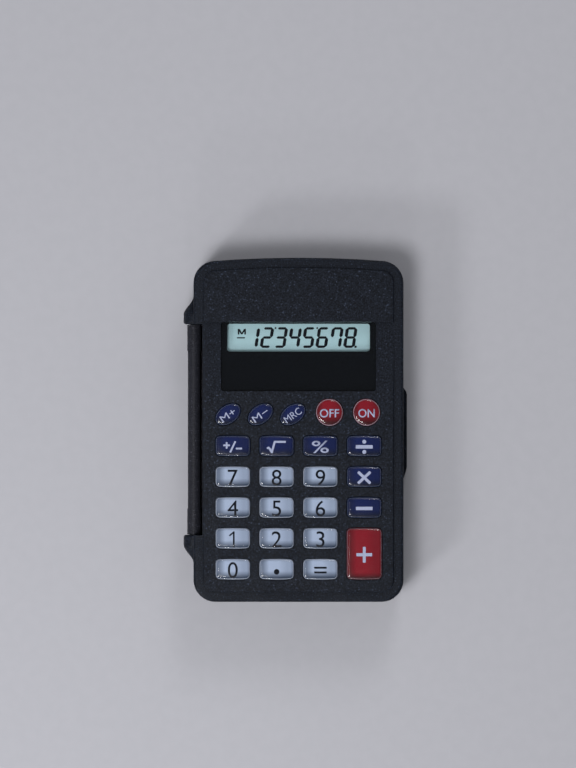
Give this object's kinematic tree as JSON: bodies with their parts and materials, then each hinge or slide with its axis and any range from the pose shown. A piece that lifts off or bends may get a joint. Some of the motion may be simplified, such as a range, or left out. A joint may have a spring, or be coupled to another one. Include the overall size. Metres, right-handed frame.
{
  "type": "pocket calculator",
  "caption": "Pocket calculator with its flip cover folded behind: moulded case, sprung keys, sloping display lens, AAA bay with sliding door, and a link hinge that folds right round",
  "frame": {"origin": "On the surface that the calculator lies on, midway along its length and midway between hinge bosses and thumb tab; Z = 0 is the rim of the folded cover", "axes": "+X away from the hinge, towards the thumb tab; +Y towards the display end; +Z out of the key face"},
  "size_m": [0.077, 0.118, 0.0203],
  "materials": {
    "case": "black ABS moulding with a fine spark-eroded grain",
    "cover": "black ABS moulding with a fine spark-eroded grain",
    "hinge": "black plastic, slightly smoother than the case",
    "lens": "polished acrylic, printed black behind round a clear window",
    "lcd_glass": "clear float glass",
    "polarizer": "grey-green polarizing film with the segments seen through it",
    "reflector": "frosted silver film",
    "zebra": "layered conductive silicone",
    "board": "green solder mask over glass laminate",
    "epoxy": "black epoxy drop",
    "capacitor": "dark blue sleeve",
    "resistor": "black film on ceramic",
    "membrane": "grey silicone",
    "carbon": "carbon-loaded silicone",
    "screw": "zinc-plated steel",
    "cell": "plain dark jacket over a steel can",
    "contact": "nickel-plated spring steel",
    "lead_red": "red vinyl insulation",
    "lead_black": "black vinyl insulation",
    "key_pale": "clear cap over silver-lilac print with black legends",
    "key_blue": "clear cap over navy print with white legends",
    "key_red": "clear cap over crimson print with white legends"
  },
  "bodies": {
    "case": {"front_case": "case", "rear_case": "case", "display_window": "lens", "lcd_front_polarizer": "polarizer", "lcd_front_glass": "lcd_glass", "lcd_rear_glass": "lcd_glass", "lcd_reflector": "reflector", "contact_strip": "zebra", "circuit_board": "board", "chip_blob": "epoxy", "board_capacitor": "capacitor", "board_resistors": "resistor", "keypad_membrane": "membrane", "carbon_pills": "carbon", "board_screws": "screw", "case_screws": "screw", "battery": "cell", "battery_spring": "contact", "negative_plate": "contact", "positive_plate": "contact", "red_lead": "lead_red", "black_lead": "lead_black"},
    "door": {"battery_door": "case"},
    "link": {"hinge_link": "hinge"},
    "cover": {"flip_cover": "cover"},
    "key_7": {"key_7": "key_pale"},
    "key_8": {"key_8": "key_pale"},
    "key_9": {"key_9": "key_pale"},
    "key_4": {"key_4": "key_pale"},
    "key_5": {"key_5": "key_pale"},
    "key_6": {"key_6": "key_pale"},
    "key_1": {"key_1": "key_pale"},
    "key_2": {"key_2": "key_pale"},
    "key_3": {"key_3": "key_pale"},
    "key_0": {"key_0": "key_pale"},
    "key_point": {"key_point": "key_pale"},
    "key_equals": {"key_equals": "key_pale"},
    "key_memory_plus": {"key_memory_plus": "key_blue"},
    "key_memory_minus": {"key_memory_minus": "key_blue"},
    "key_memory_recall": {"key_memory_recall": "key_blue"},
    "key_sign": {"key_sign": "key_blue"},
    "key_root": {"key_root": "key_blue"},
    "key_percent": {"key_percent": "key_blue"},
    "key_divide": {"key_divide": "key_blue"},
    "key_multiply": {"key_multiply": "key_blue"},
    "key_minus": {"key_minus": "key_blue"},
    "key_off": {"key_off": "key_red"},
    "key_on": {"key_on": "key_red"},
    "key_plus": {"key_plus": "key_red"}
  },
  "joints": [
    {"name": "link_hinge", "type": "hinge", "parent": "case", "child": "link", "pos_m": [-0.03485, 0, 0.0115], "axis": [0, 1, 0], "range_deg": [0, 180]},
    {"name": "cover_hinge", "type": "hinge", "parent": "link", "child": "cover", "pos_m": [-0.03485, 0, 0.0025], "axis": [0, 1, 0], "range_deg": [0, 180]},
    {"name": "door_slide", "type": "slide", "parent": "case", "child": "door", "axis": [0, 1, 0], "range_m": [0, 0.016]},
    {"name": "key_7_press", "type": "slide", "parent": "case", "child": "key_7", "axis": [0, 0, -1], "range_m": [0, 0.0008], "stiffness_N_per_m": 400, "springref_m": -0.0008, "deforming": ["keypad_membrane"]},
    {"name": "key_8_press", "type": "slide", "parent": "case", "child": "key_8", "axis": [0, 0, -1], "range_m": [0, 0.0008], "stiffness_N_per_m": 400, "springref_m": -0.0008, "deforming": ["keypad_membrane"]},
    {"name": "key_9_press", "type": "slide", "parent": "case", "child": "key_9", "axis": [0, 0, -1], "range_m": [0, 0.0008], "stiffness_N_per_m": 400, "springref_m": -0.0008, "deforming": ["keypad_membrane"]},
    {"name": "key_4_press", "type": "slide", "parent": "case", "child": "key_4", "axis": [0, 0, -1], "range_m": [0, 0.0008], "stiffness_N_per_m": 400, "springref_m": -0.0008, "deforming": ["keypad_membrane"]},
    {"name": "key_5_press", "type": "slide", "parent": "case", "child": "key_5", "axis": [0, 0, -1], "range_m": [0, 0.0008], "stiffness_N_per_m": 400, "springref_m": -0.0008, "deforming": ["keypad_membrane"]},
    {"name": "key_6_press", "type": "slide", "parent": "case", "child": "key_6", "axis": [0, 0, -1], "range_m": [0, 0.0008], "stiffness_N_per_m": 400, "springref_m": -0.0008, "deforming": ["keypad_membrane"]},
    {"name": "key_1_press", "type": "slide", "parent": "case", "child": "key_1", "axis": [0, 0, -1], "range_m": [0, 0.0008], "stiffness_N_per_m": 400, "springref_m": -0.0008, "deforming": ["keypad_membrane"]},
    {"name": "key_2_press", "type": "slide", "parent": "case", "child": "key_2", "axis": [0, 0, -1], "range_m": [0, 0.0008], "stiffness_N_per_m": 400, "springref_m": -0.0008, "deforming": ["keypad_membrane"]},
    {"name": "key_3_press", "type": "slide", "parent": "case", "child": "key_3", "axis": [0, 0, -1], "range_m": [0, 0.0008], "stiffness_N_per_m": 400, "springref_m": -0.0008, "deforming": ["keypad_membrane"]},
    {"name": "key_0_press", "type": "slide", "parent": "case", "child": "key_0", "axis": [0, 0, -1], "range_m": [0, 0.0008], "stiffness_N_per_m": 400, "springref_m": -0.0008, "deforming": ["keypad_membrane"]},
    {"name": "key_point_press", "type": "slide", "parent": "case", "child": "key_point", "axis": [0, 0, -1], "range_m": [0, 0.0008], "stiffness_N_per_m": 400, "springref_m": -0.0008, "deforming": ["keypad_membrane"]},
    {"name": "key_equals_press", "type": "slide", "parent": "case", "child": "key_equals", "axis": [0, 0, -1], "range_m": [0, 0.0008], "stiffness_N_per_m": 400, "springref_m": -0.0008, "deforming": ["keypad_membrane"]},
    {"name": "key_memory_plus_press", "type": "slide", "parent": "case", "child": "key_memory_plus", "axis": [0, 0, -1], "range_m": [0, 0.0008], "stiffness_N_per_m": 400, "springref_m": -0.0008, "deforming": ["keypad_membrane"]},
    {"name": "key_memory_minus_press", "type": "slide", "parent": "case", "child": "key_memory_minus", "axis": [0, 0, -1], "range_m": [0, 0.0008], "stiffness_N_per_m": 400, "springref_m": -0.0008, "deforming": ["keypad_membrane"]},
    {"name": "key_memory_recall_press", "type": "slide", "parent": "case", "child": "key_memory_recall", "axis": [0, 0, -1], "range_m": [0, 0.0008], "stiffness_N_per_m": 400, "springref_m": -0.0008, "deforming": ["keypad_membrane"]},
    {"name": "key_sign_press", "type": "slide", "parent": "case", "child": "key_sign", "axis": [0, 0, -1], "range_m": [0, 0.0008], "stiffness_N_per_m": 400, "springref_m": -0.0008, "deforming": ["keypad_membrane"]},
    {"name": "key_root_press", "type": "slide", "parent": "case", "child": "key_root", "axis": [0, 0, -1], "range_m": [0, 0.0008], "stiffness_N_per_m": 400, "springref_m": -0.0008, "deforming": ["keypad_membrane"]},
    {"name": "key_percent_press", "type": "slide", "parent": "case", "child": "key_percent", "axis": [0, 0, -1], "range_m": [0, 0.0008], "stiffness_N_per_m": 400, "springref_m": -0.0008, "deforming": ["keypad_membrane"]},
    {"name": "key_divide_press", "type": "slide", "parent": "case", "child": "key_divide", "axis": [0, 0, -1], "range_m": [0, 0.0008], "stiffness_N_per_m": 400, "springref_m": -0.0008, "deforming": ["keypad_membrane"]},
    {"name": "key_multiply_press", "type": "slide", "parent": "case", "child": "key_multiply", "axis": [0, 0, -1], "range_m": [0, 0.0008], "stiffness_N_per_m": 400, "springref_m": -0.0008, "deforming": ["keypad_membrane"]},
    {"name": "key_minus_press", "type": "slide", "parent": "case", "child": "key_minus", "axis": [0, 0, -1], "range_m": [0, 0.0008], "stiffness_N_per_m": 400, "springref_m": -0.0008, "deforming": ["keypad_membrane"]},
    {"name": "key_off_press", "type": "slide", "parent": "case", "child": "key_off", "axis": [0, 0, -1], "range_m": [0, 0.0008], "stiffness_N_per_m": 400, "springref_m": -0.0008, "deforming": ["keypad_membrane"]},
    {"name": "key_on_press", "type": "slide", "parent": "case", "child": "key_on", "axis": [0, 0, -1], "range_m": [0, 0.0008], "stiffness_N_per_m": 400, "springref_m": -0.0008, "deforming": ["keypad_membrane"]},
    {"name": "key_plus_press", "type": "slide", "parent": "case", "child": "key_plus", "axis": [0, 0, -1], "range_m": [0, 0.0008], "stiffness_N_per_m": 400, "springref_m": -0.0008, "deforming": ["keypad_membrane"]}
  ]
}
